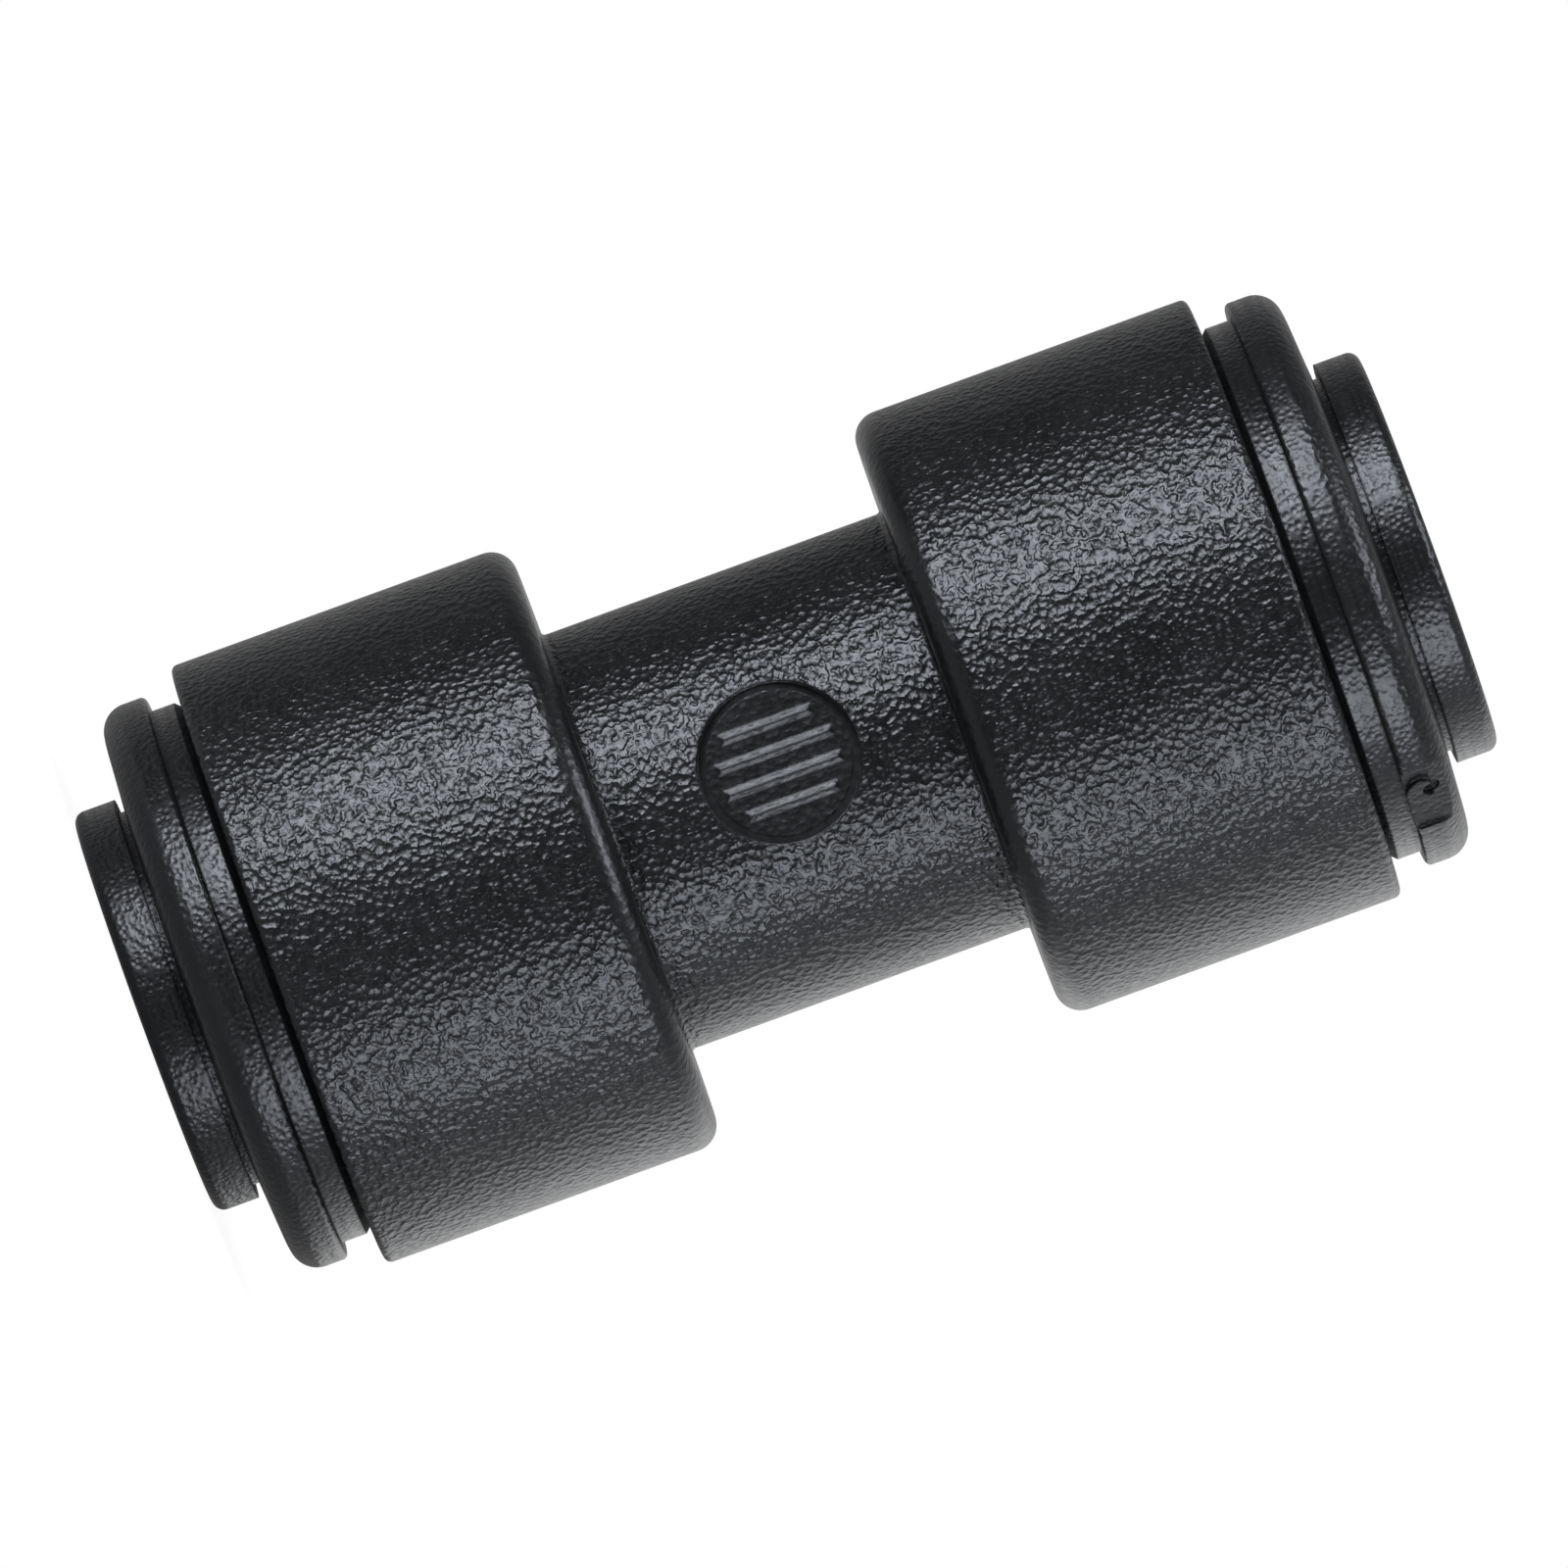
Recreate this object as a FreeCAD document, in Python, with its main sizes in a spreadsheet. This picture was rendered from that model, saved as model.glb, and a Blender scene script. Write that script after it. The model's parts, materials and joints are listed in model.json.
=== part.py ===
import FreeCAD, Part
import os
import Sketcher

# Straight push-fit connector for 15 mm tube, in mm.
# The tube axis is Z, with the origin in the middle of the tube stop. Every end piece is drawn
# for the upper end, and the lower end gets the same piece turned over about X.

# Driving dimensions
dimensions = {
    # The tube that it takes, and the bores that the tube slides into
    "tube_diameter": 15.0,
    "pilot_clearance": 0.075,
    "waterway_diameter": 12.2,
    "stop_length": 7.0,
    "lead_chamfer": 0.3,
    # The moulded body: waist in the middle, a barrel at each end
    "waist_wall": 1.775,
    "waist_length": 15.38,
    "waist_fillet": 0.25,
    "barrel_wall": 2.3,
    "barrel_length": 15.26,
    "barrel_inner_round": 1.15,
    "barrel_outer_round": 0.3,
    "shoulder_wall": 1.91,
    # Round recess on the side of the waist, with low roof-shaped bars on its flat floor
    "disc_diameter": 7.0,
    "disc_rim_depth": 0.22,
    "disc_turn": -5.5,
    "disc_bar_count": 4,
    "disc_bar_pitch": 1.15,
    "disc_bar_width": 0.52,
    "disc_bar_height": 0.1,
    "disc_bar_slope": 25.0,
    "disc_bars_diameter": 5.4,
    # Seal ring and its gland
    "ring_section": 2.4,
    "ring_grip": 0.15,
    "gland_fit": 0.05,
    "gland_slack": 0.6,
    # End cap
    "ring_lip": 0.3,
    "spigot_wall": 1.65,
    "spigot_fit": 0.05,
    "spigot_chamfer": 0.4,
    "weld_groove_width": 0.36,
    "weld_groove_depth": 0.36,
    "neck_step": 0.7,
    "neck_length": 1.07,
    "flange_step": 0.8,
    "flange_thickness": 2.4,
    "flange_round": 1.2,
    "flange_inner_round": 0.25,
    "flange_face_fall": 0.28,
    "gate_turn": -38.0,
    "gate_width": 3.9,
    "gate_side_depth": 0.15,
    "gate_nib_diameter": 1.3,
    "gate_nib_height": 0.24,
    "gate_nib_shift": 0.6,
    "gate_tear_diameter": 0.8,
    "gate_tear_shift": 0.45,
    "gate_tear_depth": 0.12,
    # Release collet
    "collet_clearance": 0.1,
    "sleeve_wall": 0.8,
    "slide_fit": 0.15,
    "leg_fit": 0.2,
    "leg_room": 1.0,
    "leg_chamfer": 0.5,
    "bump_length": 2.7,
    "cam_length": 3.0,
    "cam_stop_gap": 0.05,
    "pull_travel": 1.4,
    "leg_count": 8,
    "slot_width": 1.3,
    "sleeve_band": 3.0,
    "head_gap": 0.33,
    "head_lip": 0.6,
    "head_thickness": 1.9,
    "head_round": 0.5,
    "head_bore_chamfer": 0.55,
    # Grip teeth, stamped strips set in the collet's legs
    "tooth_bite": 0.15,
    "tooth_thickness": 0.3,
    "tooth_width": 2.6,
    "tooth_reach": 1.7,
    "tooth_bevel": 0.35,
    "tooth_angle": 40.0,
    "tooth_fit": 0.03,
    "tooth_back": 1.3,
}

# Radii, worked outwards from the tube
radii = {
    "tube": "sizes.tube_diameter / 2",
    "pilot": "radii.tube + sizes.pilot_clearance",
    "waterway": "sizes.waterway_diameter / 2",
    "waist": "radii.pilot + sizes.waist_wall",
    "seal_inside": "radii.tube - sizes.ring_grip",
    "seal_middle": "radii.seal_inside + sizes.ring_section / 2",
    "gland": "radii.seal_inside + sizes.ring_section + sizes.gland_fit",
    "chamber": "radii.gland - sizes.ring_lip",
    "spigot": "radii.chamber + sizes.spigot_wall",
    "socket": "radii.spigot + sizes.spigot_fit",
    "barrel": "radii.socket + sizes.barrel_wall",
    "flange": "radii.barrel - sizes.flange_step",
    "neck": "radii.flange - sizes.neck_step",
    "weld_groove": "radii.neck - sizes.weld_groove_depth",
    "collet_bore": "radii.tube + sizes.collet_clearance",
    "sleeve": "radii.collet_bore + sizes.sleeve_wall",
    "mouth": "radii.sleeve + sizes.slide_fit",
    "leg": "radii.chamber - sizes.leg_fit",
    "head": "radii.sleeve + sizes.head_lip",
    "tooth_tip": "radii.tube - sizes.tooth_bite",
    "disc_floor": "sqrt(radii.waist ^ 2 - (sizes.disc_diameter / 2) ^ 2) - sizes.disc_rim_depth",
    "gate_floor": "sqrt(radii.flange ^ 2 - (sizes.gate_width / 2) ^ 2) - sizes.gate_side_depth",
}

# Heights above the middle, worked outwards along the axis
levels = {
    "stop": "sizes.stop_length / 2",
    "shoulder": "sizes.waist_length / 2",
    "gland": "levels.shoulder + sizes.shoulder_wall",
    "seal": "levels.gland + sizes.ring_section / 2 + sizes.gland_fit",
    "socket": "levels.gland + sizes.ring_section + sizes.gland_slack",
    "barrel_end": "levels.shoulder + sizes.barrel_length",
    "neck": "levels.barrel_end + sizes.weld_groove_width",
    "flange": "levels.neck + sizes.neck_length",
    "flange_top": "levels.flange + sizes.flange_thickness",
    "flange_edge": "levels.flange_top - sizes.flange_face_fall",
    "head": "levels.flange_top + sizes.head_gap",
    "end": "levels.head + sizes.head_thickness",
    "leg_end": "levels.socket + sizes.leg_room",
    "bump_end": "levels.leg_end + sizes.bump_length",
    "leg_cam_end": "levels.bump_end + sizes.cam_length",
    "slot_end": "levels.head - sizes.sleeve_band",
    "tooth": "levels.leg_end + sizes.tooth_back",
    "gate_nib": "levels.flange + sizes.gate_nib_diameter / 2",
    "gate_tear": "levels.gate_nib + sizes.gate_tear_shift",
    "cam_slope": "(radii.leg - radii.sleeve) / sizes.cam_length",
    "cam_stop": "levels.bump_end + sizes.pull_travel",
    "cap_cam": "levels.cam_stop - (sizes.leg_fit - sizes.cam_stop_gap) / levels.cam_slope",
    "cap_cam_end": "levels.cap_cam + (radii.chamber - radii.mouth) / levels.cam_slope",
}

upright = FreeCAD.Rotation(FreeCAD.Vector(0, 0, 1), 0)
turned_over = FreeCAD.Rotation(FreeCAD.Vector(1, 0, 0), 180)
full_turn = 360
right_angle = 90

# Edges this near to a radius and height, in mm, are taken as lying on it
same_place = 1e-6

doc = FreeCAD.newDocument("push_fit_connector")
sizes = doc.addObject("Spreadsheet::Sheet", "sizes")
for row, (alias, value) in enumerate(dimensions.items(), 1):
    sizes.set("A%d" % row, alias)
    sizes.set("B%d" % row, str(value))
    sizes.setAlias("B%d" % row, alias)
doc.recompute()

for name, rules in (("radii", radii), ("levels", levels)):
    worked = doc.addObject("App::VarSet", name)
    for word, rule in rules.items():
        worked.addProperty("App::PropertyFloat", word, name)
        worked.setExpression(word, rule)
doc.recompute()


def about_axis(degrees):
    return FreeCAD.Rotation(FreeCAD.Vector(0, 0, 1), degrees)


def new_body(label):
    body = doc.addObject("PartDesign::Body", label)
    body.Label = label
    return body


def new_sketch(body, name, role, turn="0", out="0"):
    """An empty sketch on one of the body's upright origin planes.

    The plane is turned about the tube axis and moved out from it, both given as expressions.
    """
    sketch = body.newObject("Sketcher::SketchObject", body.Label + "_" + name)
    plane = [item for item in body.Origin.OriginFeatures if item.Role == role][0]
    sketch.AttachmentSupport = [(plane, "")]
    sketch.MapMode = "FlatFace"
    up_the_sketch = FreeCAD.Vector(0, 1, 0)
    sketch.AttachmentOffset = FreeCAD.Placement(FreeCAD.Vector(), FreeCAD.Rotation(up_the_sketch, 0))
    sketch.setExpression("AttachmentOffset.Rotation.Angle", turn)
    sketch.setExpression("AttachmentOffset.Base.x", "(%s) * sin(%s)" % (out, turn))
    sketch.setExpression("AttachmentOffset.Base.z", "(%s) * cos(%s)" % (out, turn))
    doc.recompute()
    return sketch


def outline(sketch, corners):
    """A closed outline whose corners are pairs of expressions, across and up the sketch."""
    places = [[float(sketch.evalExpression(rule)) for rule in corner] for corner in corners]
    points = [FreeCAD.Vector(across, up, 0) for across, up in places]
    lines = []
    for start, end in zip(points, points[1:] + points[:1]):
        lines.append(sketch.addGeometry(Part.LineSegment(start, end), False))
    for line, following in zip(lines, lines[1:] + lines[:1]):
        sketch.addConstraint(Sketcher.Constraint("Coincident", line, 2, following, 1))
    for line, corner, place in zip(lines, corners, places):
        for kind, rule, value in zip(("DistanceX", "DistanceY"), corner, place):
            number = sketch.addConstraint(Sketcher.Constraint(kind, -1, 1, line, 1, value))
            sketch.setExpression("Constraints[%d]" % number, rule)


def circle(sketch, radius, across="0", up="0"):
    """A circle whose radius and middle are expressions."""
    middle = FreeCAD.Vector(float(sketch.evalExpression(across)), float(sketch.evalExpression(up)), 0)
    value = float(sketch.evalExpression(radius))
    index = sketch.addGeometry(Part.Circle(middle, FreeCAD.Vector(0, 0, 1), value), False)
    number = sketch.addConstraint(Sketcher.Constraint("Radius", index, value))
    sketch.setExpression("Constraints[%d]" % number, radius)
    for kind, rule, place in (("DistanceX", across, middle.x), ("DistanceY", up, middle.y)):
        number = sketch.addConstraint(Sketcher.Constraint(kind, -1, 1, index, 3, place))
        sketch.setExpression("Constraints[%d]" % number, rule)


def revolve(body, name, corners):
    """A full turn of an outline given as radius and height."""
    sketch = new_sketch(body, name + "_outline", "XZ_Plane")
    outline(sketch, corners)
    turned = body.newObject("PartDesign::Revolution", body.Label + "_" + name)
    turned.Profile = sketch
    turned.ReferenceAxis = (sketch, ["V_Axis"])
    turned.Angle = full_turn
    doc.recompute()
    return turned


def pull(body, kind, name, sketch, length, side="One side", reverse=False):
    """A pad or a pocket of a sketch, over a length given as an expression."""
    feature = body.newObject("PartDesign::" + kind, body.Label + "_" + name)
    feature.Profile = sketch
    feature.SideType = side
    feature.Reversed = reverse
    feature.setExpression("Length", length)
    doc.recompute()
    return feature


def rings_at(feature, radius, height):
    """The names of the round edges of a feature at one radius, this high above and below."""
    radius = getattr(doc.radii, radius)
    height = getattr(doc.levels, height)
    names = []
    for number, edge in enumerate(feature.Shape.Edges, 1):
        if isinstance(edge.Curve, Part.Circle):
            off_radius = abs(edge.Curve.Radius - radius)
            off_height = abs(abs(edge.Curve.Center.z) - height)
            if max(off_radius, off_height) < same_place:
                names.append("Edge%d" % number)
    return names


def soften(body, kind, name, radius, height, size):
    """A fillet or a chamfer on the round edges at one radius and height."""
    before = body.Tip
    feature = body.newObject("PartDesign::" + kind, body.Label + "_" + name)
    feature.Base = (before, rings_at(before, radius, height))
    feature.setExpression("Radius" if kind == "Fillet" else "Size", size)
    doc.recompute()
    return feature


def repeat_round(body, name, features):
    """Copies of features about the axis, one for each leg of the collet."""
    pattern = body.newObject("PartDesign::PolarPattern", body.Label + "_" + name)
    pattern.Originals = features
    axis = [item for item in body.Origin.OriginFeatures if item.Role == "Z_Axis"][0]
    pattern.Axis = (axis, [""])
    pattern.Angle = full_turn
    pattern.setExpression("Occurrences", "sizes.leg_count")
    body.Tip = pattern
    doc.recompute()
    return pattern


def fitting_body():
    """Waist and two barrels in one moulding, bored for tube, seal rings and caps."""
    body = new_body("fitting_body")
    upper = [
        ("radii.waist", "levels.shoulder"),
        ("radii.barrel", "levels.shoulder"),
        ("radii.barrel", "levels.barrel_end"),
        ("radii.socket", "levels.barrel_end"),
        ("radii.socket", "levels.socket"),
        ("radii.gland", "levels.socket"),
        ("radii.gland", "levels.gland"),
        ("radii.pilot", "levels.gland"),
        ("radii.pilot", "levels.stop"),
        ("radii.waterway", "levels.stop"),
    ]
    lower = [(radius, "-" + height) for radius, height in reversed(upper)]
    revolve(body, "turned", upper + lower)
    soften(body, "Fillet", "shoulder_round", "barrel", "shoulder", "sizes.barrel_inner_round")
    soften(body, "Fillet", "rim_round", "barrel", "barrel_end", "sizes.barrel_outer_round")
    soften(body, "Fillet", "waist_root", "waist", "shoulder", "sizes.waist_fillet")
    soften(body, "Chamfer", "pilot_lead", "pilot", "gland", "sizes.lead_chamfer")
    soften(body, "Chamfer", "socket_lead", "socket", "barrel_end", "sizes.lead_chamfer")

    # The recess is cut outwards from its flat floor
    recess = new_sketch(body, "disc", "XZ_Plane", "sizes.disc_turn", "radii.disc_floor")
    circle(recess, "sizes.disc_diameter / 2")
    pull(body, "Pocket", "disc_recess", recess, "radii.waist - radii.disc_floor", reverse=True)
    bars = new_sketch(body, "disc_bars", "XZ_Plane", "sizes.disc_turn", "radii.disc_floor")
    for row in range(int(sizes.disc_bar_count)):
        middle = "(%d + 0.5 - sizes.disc_bar_count / 2) * sizes.disc_bar_pitch" % row
        reach = "sqrt((sizes.disc_bars_diameter / 2) ^ 2 - (%s) ^ 2)" % middle
        outline(bars, [
            (middle + " - sizes.disc_bar_width / 2", "-" + reach),
            (middle + " + sizes.disc_bar_width / 2", "-" + reach),
            (middle + " + sizes.disc_bar_width / 2", reach),
            (middle + " - sizes.disc_bar_width / 2", reach),
        ])
    raised = pull(body, "Pad", "disc_raised_bars", bars, "sizes.disc_bar_height")
    raised.setExpression("TaperAngle", "sizes.disc_bar_slope - %d" % right_angle)
    doc.recompute()
    return body


def end_cap(label, rotation):
    """Cap welded into a barrel: spigot, shoulder with a V groove, neck, flange, and the cam inside."""
    body = new_body(label)
    revolve(body, "turned", [
        ("radii.spigot", "levels.socket"),
        ("radii.spigot", "levels.barrel_end"),
        ("radii.weld_groove", "levels.barrel_end"),
        ("radii.neck", "levels.neck"),
        ("radii.neck", "levels.flange"),
        ("radii.flange", "levels.flange"),
        ("radii.flange", "levels.flange_edge"),
        ("radii.head", "levels.flange_top"),
        ("radii.mouth", "levels.flange_top"),
        ("radii.mouth", "levels.cap_cam_end"),
        ("radii.chamber", "levels.cap_cam"),
        ("radii.chamber", "levels.socket"),
    ])
    soften(body, "Fillet", "flange_round", "flange", "flange_edge", "sizes.flange_round")
    soften(body, "Fillet", "flange_back", "flange", "flange", "sizes.flange_inner_round")
    soften(body, "Chamfer", "spigot_lead", "spigot", "socket", "sizes.spigot_chamfer")

    # Flat on the rim that keeps the torn gate below the full diameter
    gate = new_sketch(body, "gate", "YZ_Plane", out="radii.gate_floor")
    outline(gate, [
        ("-sizes.gate_width / 2", "levels.flange"),
        ("sizes.gate_width / 2", "levels.flange"),
        ("sizes.gate_width / 2", "levels.head"),
        ("-sizes.gate_width / 2", "levels.head"),
    ])
    pull(body, "Pocket", "gate_flat", gate, "radii.flange - radii.gate_floor", reverse=True)
    nib = new_sketch(body, "nib", "YZ_Plane", out="radii.gate_floor")
    circle(nib, "sizes.gate_nib_diameter / 2", "-sizes.gate_nib_shift", "levels.gate_nib")
    pull(body, "Pad", "gate_nib", nib, "sizes.gate_nib_height")

    # The gate tore a pit out of one side of the nib, which leaves a hook
    tear = new_sketch(body, "tear", "YZ_Plane", out="radii.gate_floor - sizes.gate_tear_depth")
    circle(tear, "sizes.gate_tear_diameter / 2", "-sizes.gate_nib_shift", "levels.gate_tear")
    pull(body, "Pocket", "gate_tear", tear, "sizes.gate_tear_depth + sizes.gate_nib_height", reverse=True)
    body.Placement = FreeCAD.Placement(FreeCAD.Vector(), rotation)
    return body


def o_ring(label, height):
    """Seal ring, resting in its gland a hair clear of the shoulder."""
    ring = doc.addObject("Part::Torus", label)
    ring.Label = label
    ring.setExpression("Radius1", "radii.seal_middle")
    ring.setExpression("Radius2", "sizes.ring_section / 2")
    ring.setExpression("Placement.Base.z", height)
    return ring


def tooth_strip(start, far_end, low, high, tip):
    """Corners of a leaning strip, measured along and square to the tooth from its tip."""
    lean = "sizes.tooth_angle"
    corners = []
    for along, square in ((tip, low), (far_end, low), (far_end, high), (start, high)):
        radius = "radii.tooth_tip + (%s) * sin(%s) + (%s) * cos(%s)" % (along, lean, square, lean)
        height = "levels.tooth + (%s) * cos(%s) - (%s) * sin(%s)" % (along, lean, square, lean)
        corners.append((radius, height))
    return corners


def collet(label, rotation):
    """Release collet: head ring, and a sleeve slotted into sprung legs with cam bumps."""
    body = new_body(label)
    revolve(body, "turned", [
        ("radii.collet_bore", "levels.leg_end"),
        ("radii.leg", "levels.leg_end"),
        ("radii.leg", "levels.bump_end"),
        ("radii.sleeve", "levels.leg_cam_end"),
        ("radii.sleeve", "levels.head"),
        ("radii.head", "levels.head"),
        ("radii.head", "levels.end"),
        ("radii.collet_bore", "levels.end"),
    ])
    soften(body, "Fillet", "head_round", "head", "end", "sizes.head_round")
    soften(body, "Chamfer", "bore_lead", "collet_bore", "end", "sizes.head_bore_chamfer")
    soften(body, "Chamfer", "leg_lead", "leg", "leg_end", "sizes.leg_chamfer")

    # One slot with a round end, cut towards the front and then half a pitch away from the teeth
    half_pitch = "%d / 4 + %d / 2 / sizes.leg_count" % (full_turn, full_turn)
    slot = new_sketch(body, "slot", "XZ_Plane", half_pitch)
    outline(slot, [
        ("-sizes.slot_width / 2", "levels.socket"),
        ("sizes.slot_width / 2", "levels.socket"),
        ("sizes.slot_width / 2", "levels.slot_end - sizes.slot_width / 2"),
        ("-sizes.slot_width / 2", "levels.slot_end - sizes.slot_width / 2"),
    ])
    cut = pull(body, "Pocket", "slot_cut", slot, "radii.chamber")
    root = new_sketch(body, "slot_root", "XZ_Plane", half_pitch)
    circle(root, "sizes.slot_width / 2", up="levels.slot_end - sizes.slot_width / 2")
    root_cut = pull(body, "Pocket", "slot_root_cut", root, "radii.chamber")
    repeat_round(body, "slots", [cut, root_cut])

    # One pocket for a tooth, cut open to the bore
    pocket = new_sketch(body, "tooth", "XZ_Plane")
    low = "-sizes.tooth_fit"
    high = "sizes.tooth_thickness + sizes.tooth_fit"
    far_end = "sizes.tooth_reach + sizes.tooth_fit"
    outline(pocket, tooth_strip("-sizes.tooth_reach", far_end, low, high, "-sizes.tooth_reach"))
    width = "sizes.tooth_width + 2 * sizes.tooth_fit"
    seat = pull(body, "Pocket", "tooth_pocket", pocket, width, side="Symmetric")
    repeat_round(body, "tooth_pockets", [seat])
    body.Placement = FreeCAD.Placement(FreeCAD.Vector(), rotation)
    return body


def grip_tooth(label, rotation):
    """Stamped strip with a bevelled edge that leans inwards and bites the tube."""
    body = new_body(label)
    side = new_sketch(body, "side", "XZ_Plane")
    outline(side, tooth_strip("sizes.tooth_bevel", "sizes.tooth_reach", "0", "sizes.tooth_thickness", "0"))
    pull(body, "Pad", "strip", side, "sizes.tooth_width", side="Symmetric")
    body.Placement = FreeCAD.Placement(FreeCAD.Vector(), rotation)
    return body


nodes = [fitting_body()]
for end, rotation, seal_height in (("top", upright, "levels.seal"), ("bottom", turned_over, "-levels.seal")):
    nodes.append(end_cap("end_cap_" + end, rotation * about_axis(sizes.gate_turn)))
    nodes.append(o_ring("o_ring_" + end, seal_height))
    nodes.append(collet("collet_" + end, rotation))
    for index in range(int(sizes.leg_count)):
        turn = about_axis(full_turn * index / int(sizes.leg_count))
        nodes.append(grip_tooth("grip_tooth_%s_%d" % (end, index + 1), rotation * turn))
doc.recompute()

for item in doc.Objects:
    if "Invalid" in item.State or "Error" in item.State:
        raise RuntimeError("%s did not recompute: %s" % (item.Label, item.State))
for node in nodes:
    if node.Shape.isNull() or not node.Shape.isValid() or len(node.Shape.Solids) != 1:
        raise RuntimeError("%s is not one valid solid" % node.Label)

os.makedirs("parts", exist_ok=True)
for node in nodes:
    node.Shape.exportStep("parts/%s.step" % node.Label)
    box = node.Shape.BoundBox
    print("%-24s %9.2f mm3  z %7.2f to %7.2f" % (node.Label, node.Shape.Volume, box.ZMin, box.ZMax))
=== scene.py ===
import json
import math

import bpy
from mathutils import Matrix, Vector


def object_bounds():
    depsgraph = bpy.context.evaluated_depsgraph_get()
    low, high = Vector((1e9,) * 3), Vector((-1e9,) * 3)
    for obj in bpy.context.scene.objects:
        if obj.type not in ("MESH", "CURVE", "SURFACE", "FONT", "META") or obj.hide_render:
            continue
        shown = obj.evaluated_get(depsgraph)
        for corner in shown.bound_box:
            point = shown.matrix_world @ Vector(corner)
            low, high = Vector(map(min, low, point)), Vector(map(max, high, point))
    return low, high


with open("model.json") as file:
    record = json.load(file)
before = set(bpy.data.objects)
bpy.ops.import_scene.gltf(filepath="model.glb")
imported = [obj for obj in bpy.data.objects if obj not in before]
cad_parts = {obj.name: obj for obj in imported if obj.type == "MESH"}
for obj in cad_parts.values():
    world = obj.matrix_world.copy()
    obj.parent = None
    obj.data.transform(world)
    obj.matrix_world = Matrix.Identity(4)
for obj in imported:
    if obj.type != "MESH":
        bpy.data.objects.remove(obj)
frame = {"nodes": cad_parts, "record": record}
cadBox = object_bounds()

# Straight push-fit tube connector: its plastics, rubber and steel, and the studio round it.
# Lengths are in metres. The tube axis is Z, and the camera looks along +Y.
mm = 0.001
parts = frame["nodes"]


# Helpers for node trees. A socket is given as a (node, output) pair, and a plain value as it is.
nodeColumn, nodeRow = 190, -170  # spacing in the node editor
noiseLow, noiseHigh = 0.3, 0.7  # most of a noise lies between these


def clearTree(owner):
    owner.use_nodes = True
    owner.node_tree.nodes.clear()
    return owner.node_tree


def feed(node, inputs):
    for name, value in inputs.items():
        if isinstance(value, tuple) and isinstance(value[0], bpy.types.Node):
            node.id_data.links.new(value[0].outputs[value[1]], node.inputs[name])
        else:
            node.inputs[name].default_value = value


def addNode(tree, kind, at, settings=None, inputs=None):
    node = tree.nodes.new(kind if kind.startswith("Node") else "ShaderNode" + kind)
    node.location = (at[0] * nodeColumn, at[1] * nodeRow)
    for name, value in (settings or {}).items():
        setattr(node, name, value)
    feed(node, inputs or {})
    return node


def calc(tree, operation, at, first, second=0.0, clamp=False):
    settings = {"operation": operation, "use_clamp": clamp}
    return addNode(tree, "Math", at, settings, {0: first, 1: second}), "Value"


def vectorCalc(tree, operation, at, inputs, output="Value"):
    return addNode(tree, "VectorMath", at, {"operation": operation}, inputs), output


def spread(tree, at, value, low, high, toLow=0.0, toHigh=1.0):
    return addNode(tree, "MapRange", at, {"interpolation_type": "SMOOTHSTEP"}, {
        "Value": value, "From Min": low, "From Max": high, "To Min": toLow, "To Max": toHigh}), "Result"


def addNoise(tree, at, vector, scale, detail, roughness=0.5):
    return addNode(tree, "TexNoise", at, None, {
        "Vector": vector, "Scale": scale, "Detail": detail, "Roughness": roughness}), "Fac"


def addCells(tree, at, vector, scale):
    cells = addNode(tree, "TexVoronoi", at, {"feature": "F1"}, {"Vector": vector, "Scale": scale})
    return cells, "Distance"


# A Mix node's colours are its inputs 6 and 7 and its output 2.
def mixColour(tree, at, share, first, second):
    return addNode(tree, "Mix", at, {"data_type": "RGBA"}, {"Factor": share, 6: first, 7: second}), 2


def newGroup(name, inputs, outputs):
    tree = bpy.data.node_groups.new(name, "ShaderNodeTree")
    for way, sockets in (("INPUT", inputs), ("OUTPUT", outputs)):
        for label, kind in sockets.items():
            tree.interface.new_socket(label, in_out=way, socket_type="NodeSocket" + kind)
    return tree, addNode(tree, "NodeGroupInput", (-6, 0)), addNode(tree, "NodeGroupOutput", (5, 0))


def useGroup(tree, group, at, inputs):
    return addNode(tree, "Group", at, {"node_tree": group}, inputs)


# Spark-eroded grain: round craters sunk in a level skin, some deeper than others, and a soft swell
# under them all.
craterShape = {
    "rim": 0.78,  # share of a crater's size
    "patches": 1.2,  # of one depth, for each crater
    "patchDetail": 1.0,
    "depths": (0.55, 1.45),
    "swell": 0.08,
    "tipsFrom": 0.4,  # share of the height
}


def makeSparkGrain(shape):
    tree, given, out = newGroup("sparkGrain", {"Vector": "Vector", "Crater Size": "Float"},
                                {"Height": "Float", "Ridges": "Float"})
    place = (given, "Vector")
    scale = calc(tree, "DIVIDE", (-4, 1), 1.0, (given, "Crater Size"))
    bowl = spread(tree, (-2, 0), addCells(tree, (-3, 0), place, scale), 0.0, shape["rim"])
    patchScale = calc(tree, "MULTIPLY", (-3, 2), scale, shape["patches"])
    patches = addNoise(tree, (-2, 2), place, patchScale, shape["patchDetail"])
    uneven = spread(tree, (-1, 2), patches, noiseLow, noiseHigh, *shape["depths"])
    height = calc(tree, "MULTIPLY", (0, 0), bowl, uneven)
    swell = calc(tree, "MULTIPLY", (0, 2), patches, shape["swell"])
    feed(out, {
        "Height": calc(tree, "ADD", (1, 0), height, swell),
        "Ridges": spread(tree, (1, 1), bowl, shape["tipsFrom"], 1.0)})
    return tree


# Fine marks of a turned mould: rings round the axis, and small shallow pits.
markShape = {
    "ringWaves": 90.0,  # to the metre, along a ring
    "ringDetail": 2.0,
    "ringRoughness": 0.6,
    "pitRim": 0.8,  # share of a pit's size
}


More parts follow.
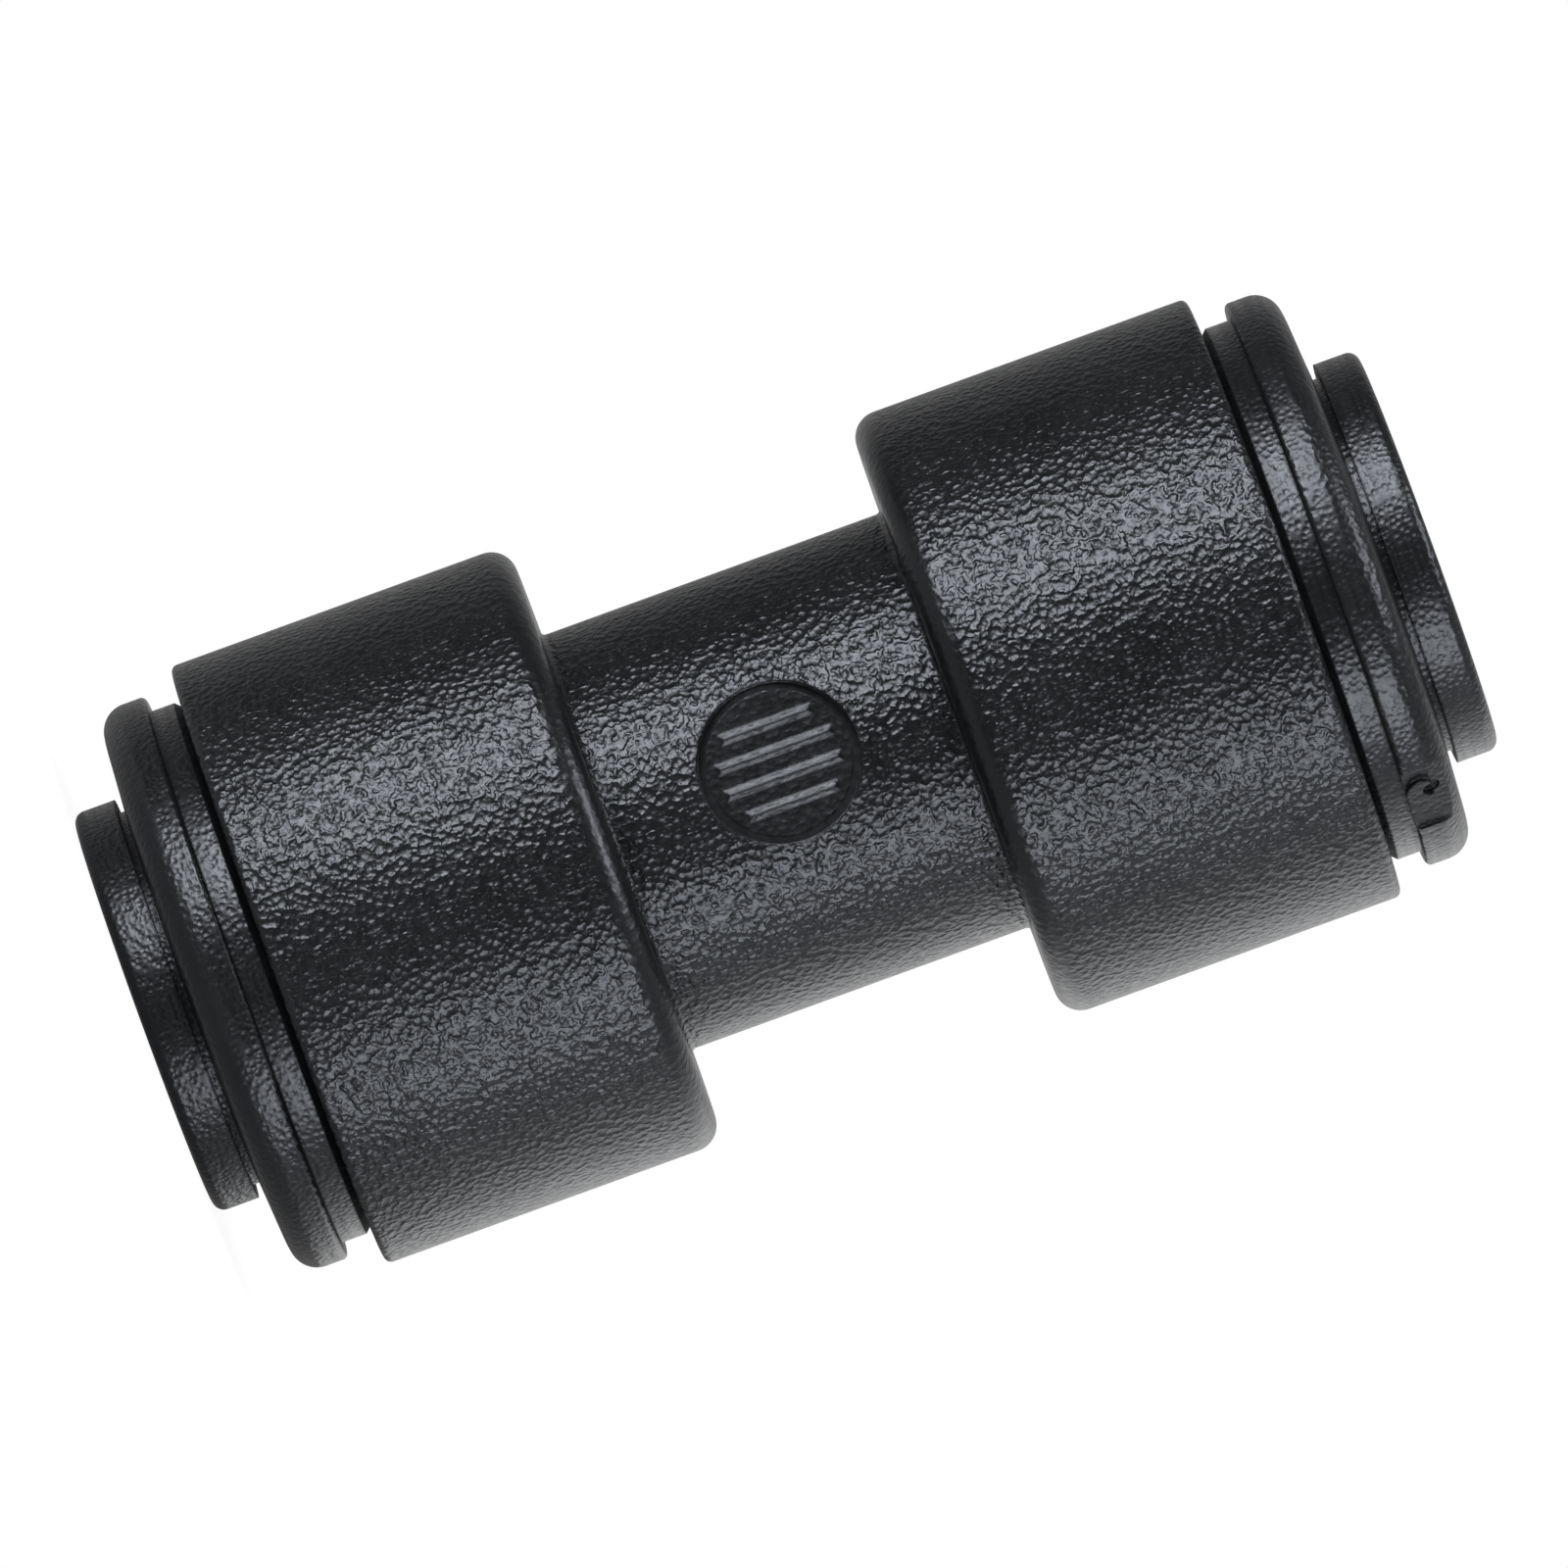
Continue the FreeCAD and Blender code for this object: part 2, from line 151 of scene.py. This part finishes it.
def makeMouldMarks(shape):
    tree, given, out = newGroup(
        "mouldMarks", {"Vector": "Vector", "Ring Pitch": "Float", "Pit Size": "Float", "Rings": "Float"},
        {"Height": "Float", "Streak": "Float"})
    place = (given, "Vector")
    ringScale = addNode(tree, "CombineXYZ", (-4, 0), None, {
        "X": shape["ringWaves"], "Y": shape["ringWaves"],
        "Z": calc(tree, "DIVIDE", (-5, 1), 1.0, (given, "Ring Pitch"))})
    ringPlace = vectorCalc(tree, "MULTIPLY", (-3, 0), {0: place, 1: (ringScale, "Vector")}, "Vector")
    rings = addNoise(tree, (-2, 0), ringPlace, 1.0, shape["ringDetail"], shape["ringRoughness"])
    streak = spread(tree, (-1, 0), rings, noiseLow, noiseHigh)
    pitScale = calc(tree, "DIVIDE", (-5, 2), 1.0, (given, "Pit Size"))
    pits = spread(tree, (-1, 2), addCells(tree, (-2, 2), place, pitScale), 0.0, shape["pitRim"])
    height = addNode(tree, "Mix", (1, 0), {"data_type": "FLOAT"}, {
        "Factor": (given, "Rings"), "A": pits, "B": streak})
    feed(out, {"Height": (height, "Result"), "Streak": streak})
    return tree


# An edge mask, in patches: where the shaded normal of a rounded edge leaves the flat one. On the mouldings
# it lightens the edge colour, partly as rubbed wear and partly as a painted highlight.
roundedEdgeShape = {
    "samples": 4,
    "gain": 6.0,
    "patchScale": 900.0,  # to the metre
    "patchDetail": 3.0,
    "patchRange": (0.25, 0.6),
    "leastEdgeShare": 0.35,
}


def makeRoundedEdgeMask(shape):
    tree, given, out = newGroup("roundedEdgeMask", {"Vector": "Vector", "Width": "Float"},
                                {"Mask": "Float", "Normal": "Vector"})
    rounded = addNode(tree, "Bevel", (-3, 0), {"samples": shape["samples"]}, {"Radius": (given, "Width")})
    surface = addNode(tree, "NewGeometry", (-3, 1))
    same = vectorCalc(tree, "DOT_PRODUCT", (-2, 0), {0: (rounded, "Normal"), 1: (surface, "Normal")})
    off = calc(tree, "SUBTRACT", (-1, 0), 1.0, same)
    gained = calc(tree, "MULTIPLY", (0, 0), off, shape["gain"], clamp=True)
    patches = addNoise(tree, (-1, 2), (given, "Vector"), shape["patchScale"], shape["patchDetail"])
    broken = spread(tree, (0, 2), patches, *shape["patchRange"], shape["leastEdgeShare"], 1.0)
    feed(out, {"Mask": calc(tree, "MULTIPLY", (1, 1), gained, broken), "Normal": (rounded, "Normal")})
    return tree


# Slow cloudy change of tone, as coloured pellets leave in a moulding.
cloudShape = {"detail": 4.0, "roughness": 0.65}


def makeCloudyTone(shape):
    tree, given, out = newGroup(
        "cloudyTone", {"Vector": "Vector", "Cloud Size": "Float", "Dark": "Color", "Light": "Color"},
        {"Color": "Color", "Cloud": "Float"})
    scale = calc(tree, "DIVIDE", (-4, 1), 1.0, (given, "Cloud Size"))
    clouds = addNoise(tree, (-2, 0), (given, "Vector"), scale, shape["detail"], shape["roughness"])
    cloud = spread(tree, (-1, 0), clouds, noiseLow, noiseHigh)
    tone = mixColour(tree, (1, 0), cloud, (given, "Dark"), (given, "Light"))
    feed(out, {"Color": tone, "Cloud": cloud})
    return tree


sparkGrain, mouldMarks = makeSparkGrain(craterShape), makeMouldMarks(markShape)
roundedEdgeMask, cloudyTone = makeRoundedEdgeMask(roundedEdgeShape), makeCloudyTone(cloudShape)
print("node groups made")


# What the materials share. The place of a point is in the object's own coordinates.

def newMaterial(name, shaderValues):
    material = bpy.data.materials.new(name)
    tree = clearTree(material)
    shader = addNode(tree, "BsdfPrincipled", (6, 0), None, shaderValues)
    addNode(tree, "OutputMaterial", (8, 0), None, {"Surface": (shader, "BSDF")})
    place = (addNode(tree, "TexCoord", (-6, 0)), "Object")
    return material, tree, shader, place


def addTone(tree, place, finish):
    return useGroup(tree, cloudyTone, (-4, -1), {
        "Vector": place, "Cloud Size": finish["cloudSize"],
        "Dark": finish["dark"], "Light": finish["light"]})


def addGrain(tree, place, finish):
    return useGroup(tree, sparkGrain, (-4, 1), {"Vector": place, "Crater Size": finish["grainSize"]})


def addRoundedEdgeMask(tree, place, finish):
    return useGroup(tree, roundedEdgeMask, (-4, 3), {"Vector": place, "Width": finish["edgeWidth"]})


# The tone with its edges lightened, partly as rubbed wear and partly as a painted highlight, and the normal
# that rounds those edges
def addRubbedAndHighlitTone(tree, place, finish):
    tone, rubAndHighlight = addTone(tree, place, finish), addRoundedEdgeMask(tree, place, finish)
    return mixColour(tree, (2, -1), (rubAndHighlight, "Mask"), (tone, "Color"), finish["rubbedAndHighlit"]), (rubAndHighlight, "Normal")


def addRoughness(tree, share, finish):
    return spread(tree, (0, 2), share, 0.0, 1.0, *finish["roughness"])


def addBump(tree, height, finish, normal=None):
    bump = addNode(tree, "Bump", (4, 4), None, {
        "Strength": 1.0, "Distance": finish["grainDepth"], "Height": height})
    if normal:
        feed(bump, {"Normal": normal})
    return bump, "Normal"


# All the mouldings are one acetal, whose gloss is a little cool.
acetal = {"IOR": 1.48, "Specular Tint": (0.86, 0.91, 1, 1)}

# Black acetal of the body, with a coarse spark-eroded grain
bodyFinish = {
    "dark": (0.0030, 0.0032, 0.0036, 1),
    "light": (0.0060, 0.0063, 0.0070, 1),
    # the edges' colour: rubbed wear, and partly a painted highlight
    "rubbedAndHighlit": (0.018, 0.0185, 0.0205, 1),
    "cloudSize": 3.5 * mm,
    "grainSize": 0.37 * mm,
    "grainDepth": 0.041 * mm,
    "roughness": (0.34, 0.3),  # in the craters, and on the tips between them
    "edgeWidth": 0.14 * mm,
}

# Where the body's grain changes: the middle and half the width of each change, and how much of the
# grain is left there
grainZones = {
    "discTurn": math.radians(-5.5),
    "discSide": (5.5 * mm, 0.5 * mm),
    "discWall": (3.46 * mm, 0.04 * mm),
    "discFloor": (3.1 * mm, 0.06 * mm),
    "discFloorGrain": 0.25,
    "bore": (8.2 * mm, 0.1 * mm),
    "boreGrain": 0.12,
    "waist": (9.8 * mm, 0.2 * mm),
    "shoulder": (8.7 * mm, 0.2 * mm),
    "shoulderGrain": 0.3,
}


def change(tree, at, value, zone, before, after):
    middle, half = zone
    return spread(tree, at, value, middle - half, middle + half, before, after)


def addGrainShare(tree, place, zones):
    # the recess is the only place near its own axis on that side of the waist
    turn = zones["discTurn"]
    outward = (math.sin(turn), -math.cos(turn), 0)
    along = vectorCalc(tree, "DOT_PRODUCT", (-4, 5), {0: place, 1: outward})
    onAxis = vectorCalc(tree, "SCALE", (-3, 5), {0: outward, "Scale": along}, "Vector")
    away = vectorCalc(tree, "DISTANCE", (-2, 5), {0: place, 1: onAxis})
    nearAxis = change(tree, (-1, 5), away, zones["discWall"], 1.0, 0.0)
    onSide = change(tree, (-1, 6), along, zones["discSide"], 0.0, 1.0)
    disc = calc(tree, "MULTIPLY", (0, 5), nearAxis, onSide)
    offFloor = change(tree, (-1, 7), away, zones["discFloor"], 1 - zones["discFloorGrain"], 1.0)
    smooth = calc(tree, "MULTIPLY", (0, 6), disc, offFloor)
    plain = calc(tree, "SUBTRACT", (1, 5), 1.0, smooth)
    # the polished core pins leave the bore smooth
    level = vectorCalc(tree, "MULTIPLY", (-3, 8), {0: place, 1: (1.0, 1.0, 0.0)}, "Vector")
    fromTubeAxis = vectorCalc(tree, "LENGTH", (-2, 8), {0: level})
    outside = change(tree, (-1, 8), fromTubeAxis, zones["bore"], zones["boreGrain"], 1.0)
    # handling wears the grain off the round shoulders beside the waist
    spot = addNode(tree, "SeparateXYZ", (-3, 9), None, {0: place})
    fromMiddle = calc(tree, "ABSOLUTE", (-2, 9), (spot, "Z"))
    offShoulder = change(tree, (-1, 9), fromMiddle, zones["shoulder"], zones["shoulderGrain"], 1.0)
    onWaist = change(tree, (-1, 10), fromTubeAxis, zones["waist"], 1.0, 0.0)
    unworn = calc(tree, "MAXIMUM", (0, 9), offShoulder, onWaist)
    moulded = calc(tree, "MULTIPLY", (1, 6), plain, outside)
    return calc(tree, "MULTIPLY", (2, 5), moulded, unworn)


def makeBodyAcetal(finish, zones):
    material, tree, shader, place = newMaterial("bodyAcetal", acetal)
    grain = addGrain(tree, place, finish)
    # edges lightened: rubbed wear and a painted highlight
    colour, roundedNormal = addRubbedAndHighlitTone(tree, place, finish)
    height = calc(tree, "MULTIPLY", (3, 4), addGrainShare(tree, place, zones), (grain, "Height"))
    feed(shader, {
        "Base Color": colour,
        "Roughness": addRoughness(tree, (grain, "Ridges"), finish),
        "Normal": addBump(tree, height, finish, roundedNormal)})
    return material


# Black acetal of the caps and the collets: finer, from turned moulds
capFinish = {
    "name": "capAcetal",
    "dark": (0.0044, 0.0046, 0.0052, 1),
    "light": (0.0076, 0.0079, 0.0088, 1),
    # the edges' colour: rubbed wear, and partly a painted highlight
    "rubbedAndHighlit": (0.020, 0.0205, 0.0225, 1),
    "cloudSize": 2.6 * mm,
    "ringPitch": 0.3 * mm,
    "pitSize": 0.28 * mm,
    "rings": 0.22,  # share of the rings, and the rest is pits
    "grainDepth": 0.03 * mm,
    "roughness": (0.29, 0.36),  # between the streaks, and on them
    "edgeWidth": 0.12 * mm,
}
colletFinish = dict(
    capFinish, name="colletAcetal", ringPitch=0.2 * mm, pitSize=0.26 * mm, rings=0.15, grainDepth=0.026 * mm)


def makeTurnedAcetal(finish):
    material, tree, shader, place = newMaterial(finish["name"], acetal)
    marks = useGroup(tree, mouldMarks, (-4, 1), {
        "Vector": place, "Ring Pitch": finish["ringPitch"], "Pit Size": finish["pitSize"],
        "Rings": finish["rings"]})
    # edges lightened: rubbed wear and a painted highlight
    colour, roundedNormal = addRubbedAndHighlitTone(tree, place, finish)
    feed(shader, {
        "Base Color": colour,
        "Roughness": addRoughness(tree, (marks, "Streak"), finish),
        "Normal": addBump(tree, (marks, "Height"), finish, roundedNormal)})
    return material


# Satin nitrile rubber of the seal rings, with a bloom of lubricant
sealFinish = {
    "dark": (0.0060, 0.0060, 0.0062, 1),
    "light": (0.0150, 0.0148, 0.0145, 1),
    "cloudSize": 1.2 * mm,
    "grainSize": 0.09 * mm,
    "grainDepth": 0.003 * mm,
    "roughness": (0.42, 0.6),
}


def makeSealRubber(finish):
    material, tree, shader, place = newMaterial("sealRubber", {"IOR": 1.52})
    grain, tone = addGrain(tree, place, finish), addTone(tree, place, finish)
    feed(shader, {
        "Base Color": (tone, "Color"),
        "Roughness": addRoughness(tree, (tone, "Cloud"), finish),
        "Normal": addBump(tree, (grain, "Height"), finish)})
    return material


# Stainless spring strip of the grip teeth: rolled grain, and bright sheared edges
toothFinish = {
    "dark": (0.46, 0.45, 0.43, 1),
    "light": (0.62, 0.61, 0.59, 1),
    "sheared": (0.75, 0.74, 0.72, 1),
    "grainAlong": 0.9 * mm,
    "grainAcross": 0.05 * mm,
    "grainDetail": 3.0,
    "grainDepth": 0.002 * mm,
    "roughness": (0.3, 0.48),
    "edgeWidth": 0.05 * mm,
}


def makeToothSteel(finish):
    material, tree, shader, place = newMaterial("toothSteel", {"Metallic": 1.0})
    coarse, fine = 1 / finish["grainAlong"], 1 / finish["grainAcross"]
    drawn = vectorCalc(tree, "MULTIPLY", (-4, 0), {0: place, 1: (coarse, coarse, fine)}, "Vector")
    lines = addNoise(tree, (-3, 0), drawn, 1.0, finish["grainDetail"])
    rolled = spread(tree, (-2, 0), lines, noiseLow, noiseHigh)
    strip = mixColour(tree, (0, -1), rolled, finish["dark"], finish["light"])
    sheared = (addRoundedEdgeMask(tree, place, finish), "Mask")
    feed(shader, {
        "Base Color": mixColour(tree, (2, -1), sheared, strip, finish["sheared"]),
        "Roughness": addRoughness(tree, rolled, finish),
        "Normal": addBump(tree, rolled, finish)})
    return material


finishes = {
    "body_acetal": makeBodyAcetal(bodyFinish, grainZones),
    "cap_acetal": makeTurnedAcetal(capFinish),
    "collet_acetal": makeTurnedAcetal(colletFinish),
    "seal_rubber": makeSealRubber(sealFinish),
    "tooth_steel": makeToothSteel(toothFinish),
}
for row in frame["record"]["subparts"]:
    for slot in parts[row["node"]].material_slots:
        slot.material = finishes[row["material_slot"]]
print("finishes:", ", ".join(finishes))


pureWhite = (1, 1, 1, 1)


# 1 for what the camera sees, through clear things too
def addSeen(tree, at, path):
    return calc(tree, "MAXIMUM", at, (path, "Is Camera Ray"), (path, "Is Transmission Ray"))


# The plain pale floor that the connector stands on. Its own light takes it to white.
floorPlate = {
    "radius": 60 * mm,
    "thickness": 4 * mm,
    "sides": 128,
    "rim": 1.5 * mm,
    "rimSteps": 3,
    "smoothUpTo": math.radians(40),
    "colour": (0.2, 0.2, 0.2, 1),
    "ownLight": 0.93,
    "ownLightInGloss": 0.2,
}


def makePaleFloor(plate):
    material = bpy.data.materials.new("paleFloor")
    tree = clearTree(material)
    path = addNode(tree, "LightPath", (-4, 0))
    toCamera = calc(tree, "MULTIPLY", (-2, 0), addSeen(tree, (-3, 0), path), plate["ownLight"])
    toGloss = calc(tree, "MULTIPLY", (-2, 1), (path, "Is Glossy Ray"), plate["ownLightInGloss"])
    own = addNode(tree, "Emission", (0, 0), None, {
        "Color": pureWhite, "Strength": calc(tree, "ADD", (-1, 0), toCamera, toGloss)})
    paper = addNode(tree, "BsdfDiffuse", (0, 1), None, {"Color": plate["colour"]})
    both = addNode(tree, "AddShader", (1, 0), None, {0: (own, "Emission"), 1: (paper, "BSDF")})
    addNode(tree, "OutputMaterial", (2, 0), None, {"Surface": (both, "Shader")})
    return material


def makeFloor(plate):
    bpy.ops.object.select_all(action="DESELECT")
    middle = cadBox[0].z - plate["thickness"] / 2
    bpy.ops.mesh.primitive_cylinder_add(
        vertices=plate["sides"], radius=plate["radius"], depth=plate["thickness"], location=(0, 0, middle))
    floor = bpy.context.object
    floor.name = "floor"
    bpy.ops.object.transform_apply(location=True, rotation=True, scale=True)
    rim = floor.modifiers.new("rim", "BEVEL")
    rim.width, rim.segments, rim.limit_method = plate["rim"], plate["rimSteps"], "ANGLE"
    bpy.ops.object.modifier_apply(modifier="rim")
    bpy.ops.object.shade_smooth_by_angle(angle=plate["smoothUpTo"])
    floor.data.materials.clear()
    floor.data.materials.append(makePaleFloor(plate))


makeFloor(floorPlate)
print("floor laid")


# Axes are the object's own X, Y and Z in the scene.
def addObject(name, data, axes, spot):
    added = bpy.data.objects.new(name, data)
    added.matrix_world = Matrix.Translation(spot) @ Matrix(axes).transposed().to_4x4()
    bpy.context.scene.collection.objects.link(added)
    return added


# Soft lights round the connector. Turn is the angle about its axis from the camera's side, positive
# towards -X, and lift is the angle towards +Z. Length runs in the direction of the lift.
lampDistance = 0.8
lamps = {
    "keyCard": {"turn": 46.5, "lift": 0, "width": 0.42, "length": 0.46, "radiance": 12.6},
    "fillCard": {"turn": -51, "lift": 0, "width": 0.38, "length": 0.46, "radiance": 7.2},
    "endCard": {"turn": 12, "lift": 68, "width": 0.5, "length": 0.32, "radiance": 7.0},
    "whiteCard": {"turn": -140, "lift": 0, "width": 0.6, "length": 0.9, "radiance": 0.5},
}


def levelTowards(turn):
    return -math.sin(turn), -math.cos(turn), 0


def addLamp(name, lamp):
    lift = math.radians(lamp["lift"])
    level, axis = Vector(levelTowards(math.radians(lamp["turn"]))), Vector((0, 0, 1))
    outward = level * math.cos(lift) + axis * math.sin(lift)
    along = axis * math.cos(lift) - level * math.sin(lift)
    data = bpy.data.lights.new(name, "AREA")
    data.shape = "RECTANGLE"
    data.size, data.size_y = lamp["length"], lamp["width"]
    data.energy = lamp["radiance"] * math.pi * lamp["length"] * lamp["width"]
    addObject(name, data, (along, outward.cross(along), outward), outward * lampDistance)


for name, lamp in lamps.items():
    addLamp(name, lamp)
print("lights:", ", ".join(lamps))


# White to the camera. Gloss sees the white sweep behind and below, and the dim room on the camera's side.
studio = {
    "ambient": (0.26, 0.26, 0.26, 1),
    "sweepTurn": math.radians(-138),
    # share of the way from the dim side to the sweep, and the light there
    "sweepSteps": ((0.0, 0.015), (0.2, 0.04), (0.42, 0.2), (0.63, 0.33), (0.8, 0.5), (0.95, 1.0)),
}


def makeStudio(light):
    world = bpy.data.worlds.new("studio")
    tree = clearTree(world)
    path = addNode(tree, "LightPath", (-4, 0))
    direction = addNode(tree, "TexCoord", (-5, 2))
    towards = vectorCalc(tree, "DOT_PRODUCT", (-4, 2), {
        0: (direction, "Generated"), 1: levelTowards(light["sweepTurn"])})
    share = addNode(tree, "MapRange", (-3, 2), None, {"Value": towards, "From Min": -1, "From Max": 1})
    steps = addNode(tree, "ValToRGB", (-2, 2), None, {"Fac": (share, "Result")})
    ramp = steps.color_ramp
    ramp.interpolation = "EASE"
    while len(ramp.elements) < len(light["sweepSteps"]):
        ramp.elements.new(1.0)
    for element, (position, level) in zip(ramp.elements, light["sweepSteps"]):
        element.position, element.color = position, (level, level, level, 1)
    gloss = calc(tree, "MULTIPLY", (-1, 1), (path, "Is Glossy Ray"), (steps, "Color"))
    seen = addSeen(tree, (-2, 0), path)
    strength = calc(tree, "MAXIMUM", (-1, 0), seen, gloss)
    direct = calc(tree, "MAXIMUM", (-1, -1), seen, (path, "Is Glossy Ray"))
    white = addNode(tree, "Background", (0, 0), None, {"Color": pureWhite, "Strength": strength})
    ambient = addNode(tree, "Background", (0, 1), None, {"Color": light["ambient"], "Strength": 1.0})
    both = addNode(tree, "MixShader", (1, 0), None, {
        0: direct, 1: (ambient, "Background"), 2: (white, "Background")})
    addNode(tree, "OutputWorld", (2, 0), None, {"Surface": (both, "Shader")})
    bpy.context.scene.world = world


makeStudio(studio)
bpy.context.scene.view_settings.view_transform = "Standard"
print("studio lit")


# The photograph's view: level with the middle of the connector, turned so that its axis rises to the right
photoPixels, pixelsPerMm = 1600, 24
view = {
    "roll": math.radians(19.95),
    "distance": 945 * mm,
    "frameWidth": photoPixels / pixelsPerMm * mm,
    "aimRight": -2 / pixelsPerMm * mm,
    "aimUp": -2.8 / pixelsPerMm * mm,
    "sensor": 36,  # in millimetres, and so is the lens
    "clip": (0.01, 10),
}


def addCamera(shot):
    roll = shot["roll"]
    right = Vector((math.sin(roll), 0, math.cos(roll)))
    up = Vector((-math.cos(roll), 0, math.sin(roll)))
    back = Vector((0, -1, 0))
    data = bpy.data.cameras.new("camera")
    data.sensor_width = shot["sensor"]
    data.lens = shot["sensor"] * shot["distance"] / shot["frameWidth"]
    data.clip_start, data.clip_end = shot["clip"]
    eye = right * shot["aimRight"] + up * shot["aimUp"] + back * shot["distance"]
    bpy.context.scene.camera = addObject("camera", data, (right, up, back), eye)


addCamera(view)
print("camera set")
